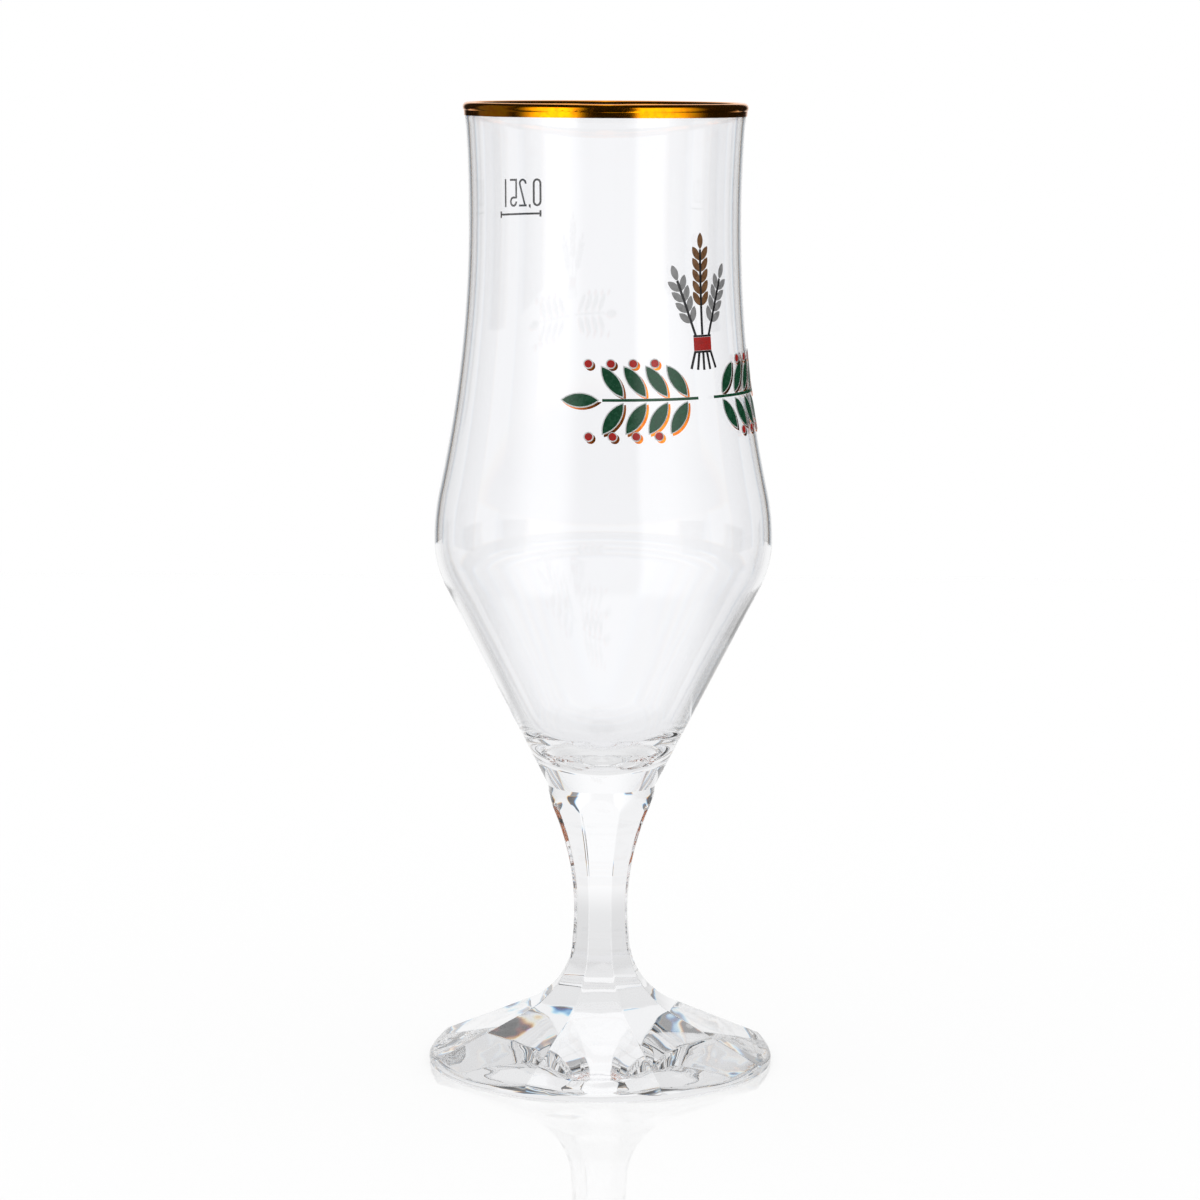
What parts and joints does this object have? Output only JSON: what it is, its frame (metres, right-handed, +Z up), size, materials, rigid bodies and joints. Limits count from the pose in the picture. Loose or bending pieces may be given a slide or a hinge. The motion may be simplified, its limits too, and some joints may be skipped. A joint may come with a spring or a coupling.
{
  "type": "chalice beer glass",
  "caption": "Slim footed beer glass with a flared, bellied bowl, a faceted stem and foot, a gilt rim band, a fired-on garland and grain sheaf, and a fill mark.",
  "frame": {"origin": "centre of the circle that the foot stands on, in the plane of its underside", "axes": "+Z up along the axis of the glass, -Y the front, from which the garland is seen turned 42.5 degrees towards +X and the fill mark is on the far side"},
  "size_m": [0.0706, 0.0706, 0.1962],
  "materials": {
    "glass": "clear, polished",
    "gilding": "bright gold, polished",
    "leaf_green": "fired-on colour, glossy",
    "line_white": "fired-on colour, glossy",
    "berry_red": "fired-on colour, glossy",
    "grain_brown": "fired-on colour, glossy",
    "grain_grey": "fired-on colour, glossy",
    "ink_black": "fired-on colour, glossy"
  },
  "bodies": {
    "root": {"bowl": "glass", "stem": "glass", "foot": "glass", "rim_band": "gilding", "fill_mark": "ink_black", "garland_leaves": "leaf_green", "garland_keyline": "line_white", "garland_gilding": "gilding", "berries": "berry_red", "middle_ear": "grain_brown", "side_ears": "grain_grey", "sheaf_stalks": "ink_black", "sheaf_tie": "berry_red"}
  },
  "joints": []
}
